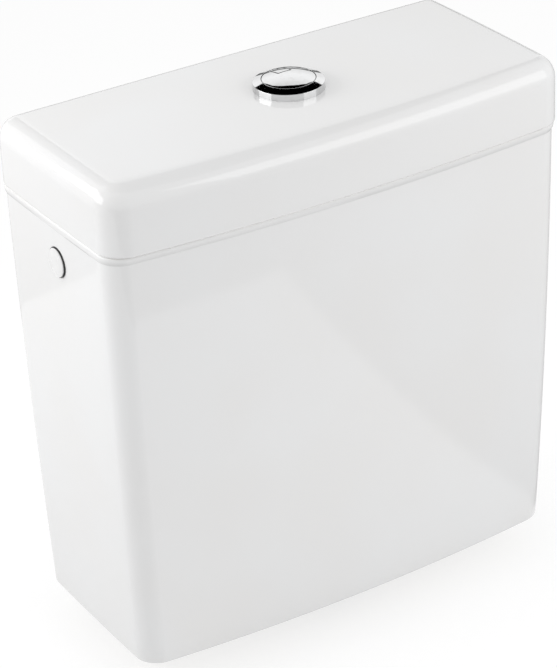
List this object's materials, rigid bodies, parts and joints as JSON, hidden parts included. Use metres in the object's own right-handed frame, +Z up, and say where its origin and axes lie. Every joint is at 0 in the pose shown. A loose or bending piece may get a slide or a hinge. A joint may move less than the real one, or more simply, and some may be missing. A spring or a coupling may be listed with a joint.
{
  "type": "toilet cistern",
  "caption": "White glazed close-coupled toilet cistern with a bowed front, lift-off lid, round chrome dual-flush button, flush valve and side-inlet fill valve inside.",
  "frame": {"origin": "where the flush valve's vertical axis meets the plane of the tank's underside", "axes": "+Z up, -Y the front, +Y the wall behind, +X to the right seen from the front"},
  "size_m": [0.406, 0.177, 0.4309],
  "materials": {
    "glaze": "glossy white sanitary glaze",
    "chrome": "polished chrome plating",
    "white_plastic": "moulded white plastic",
    "grey_plastic": "moulded grey plastic",
    "blue_plastic": "moulded blue plastic",
    "cap_plastic": "glossy white plastic",
    "rubber": "matt black rubber",
    "foam": "closed-cell foam rubber",
    "steel": "drawn stainless steel"
  },
  "bodies": {
    "tank": {"tank": "glaze", "flush_base": "white_plastic", "base_seal": "rubber", "tail_nut": "white_plastic", "coupling_gasket": "foam", "valve_tower": "white_plastic", "lever_pin": "steel", "fill_body": "white_plastic", "inlet_washer": "rubber", "inlet_nut": "white_plastic", "inlet_filter": "grey_plastic", "diaphragm": "rubber", "fill_cap": "grey_plastic", "arm_pin": "steel", "discharge_pipe": "white_plastic", "side_cap": "cap_plastic", "cap_washer": "rubber", "side_cap_nut": "white_plastic"},
    "lid": {"lid": "glaze", "button_bezel": "chrome", "bezel_nut": "white_plastic", "button_guide": "white_plastic", "full_return_spring": "steel", "half_return_spring": "steel"},
    "full_button": {"full_button": "chrome", "full_push_rod": "steel"},
    "half_key": {"half_key": "chrome", "half_push_rod": "steel"},
    "full_lever": {"full_lever": "blue_plastic"},
    "half_lever": {"half_lever": "grey_plastic"},
    "overflow": {"overflow_tube": "grey_plastic", "valve_seal": "rubber", "full_float": "blue_plastic"},
    "half_float": {"half_float": "blue_plastic"},
    "float_arm": {"float_arm": "blue_plastic"},
    "fill_float": {"fill_float": "grey_plastic", "adjusting_rod": "steel"}
  },
  "joints": [
    {"name": "lid_lift", "type": "slide", "parent": "tank", "child": "lid", "axis": [0, 0, 1], "range_m": [0, 0.15]},
    {"name": "full_press", "type": "slide", "parent": "lid", "child": "full_button", "axis": [0, 0, -1], "range_m": [0, 0.007], "stiffness_N_per_m": 400, "springref_m": -0.006, "deforming": ["full_return_spring"]},
    {"name": "half_press", "type": "slide", "parent": "lid", "child": "half_key", "axis": [0, 0, -1], "range_m": [0, 0.005], "stiffness_N_per_m": 400, "springref_m": -0.006, "deforming": ["half_return_spring"]},
    {"name": "full_lever_turn", "type": "hinge", "parent": "tank", "child": "full_lever", "pos_m": [0, 0, 0.28], "axis": [1, 0, 0], "range_deg": [0, 32]},
    {"name": "half_lever_turn", "type": "hinge", "parent": "tank", "child": "half_lever", "pos_m": [0, 0, 0.28], "axis": [-1, 0, 0], "range_deg": [0, 23]},
    {"name": "overflow_lift", "type": "slide", "parent": "tank", "child": "overflow", "axis": [0, 0, 1], "range_m": [0, 0.0101]},
    {"name": "half_float_lift", "type": "slide", "parent": "tank", "child": "half_float", "axis": [0, 0, 1], "range_m": [0, 0.0145]},
    {"name": "fill_float_rise", "type": "slide", "parent": "tank", "child": "fill_float", "axis": [0, 0, 1], "range_m": [0, 0.02]},
    {"name": "float_arm_turn", "type": "hinge", "parent": "tank", "child": "float_arm", "pos_m": [0.14267, 0.009, 0.3365], "axis": [0, 1, 0], "range_deg": [0, 25.5]}
  ],
  "couplings": [
    {"joint": "full_lever_turn", "follows": "full_press", "rad_per_m": 79.23},
    {"joint": "half_lever_turn", "follows": "half_press", "rad_per_m": 79.23},
    {"joint": "overflow_lift", "follows": "full_press", "ratio": 1.4262},
    {"joint": "half_float_lift", "follows": "half_press", "ratio": 2.8523},
    {"joint": "float_arm_turn", "follows": "fill_float_rise", "rad_per_m": 21.91}
  ]
}
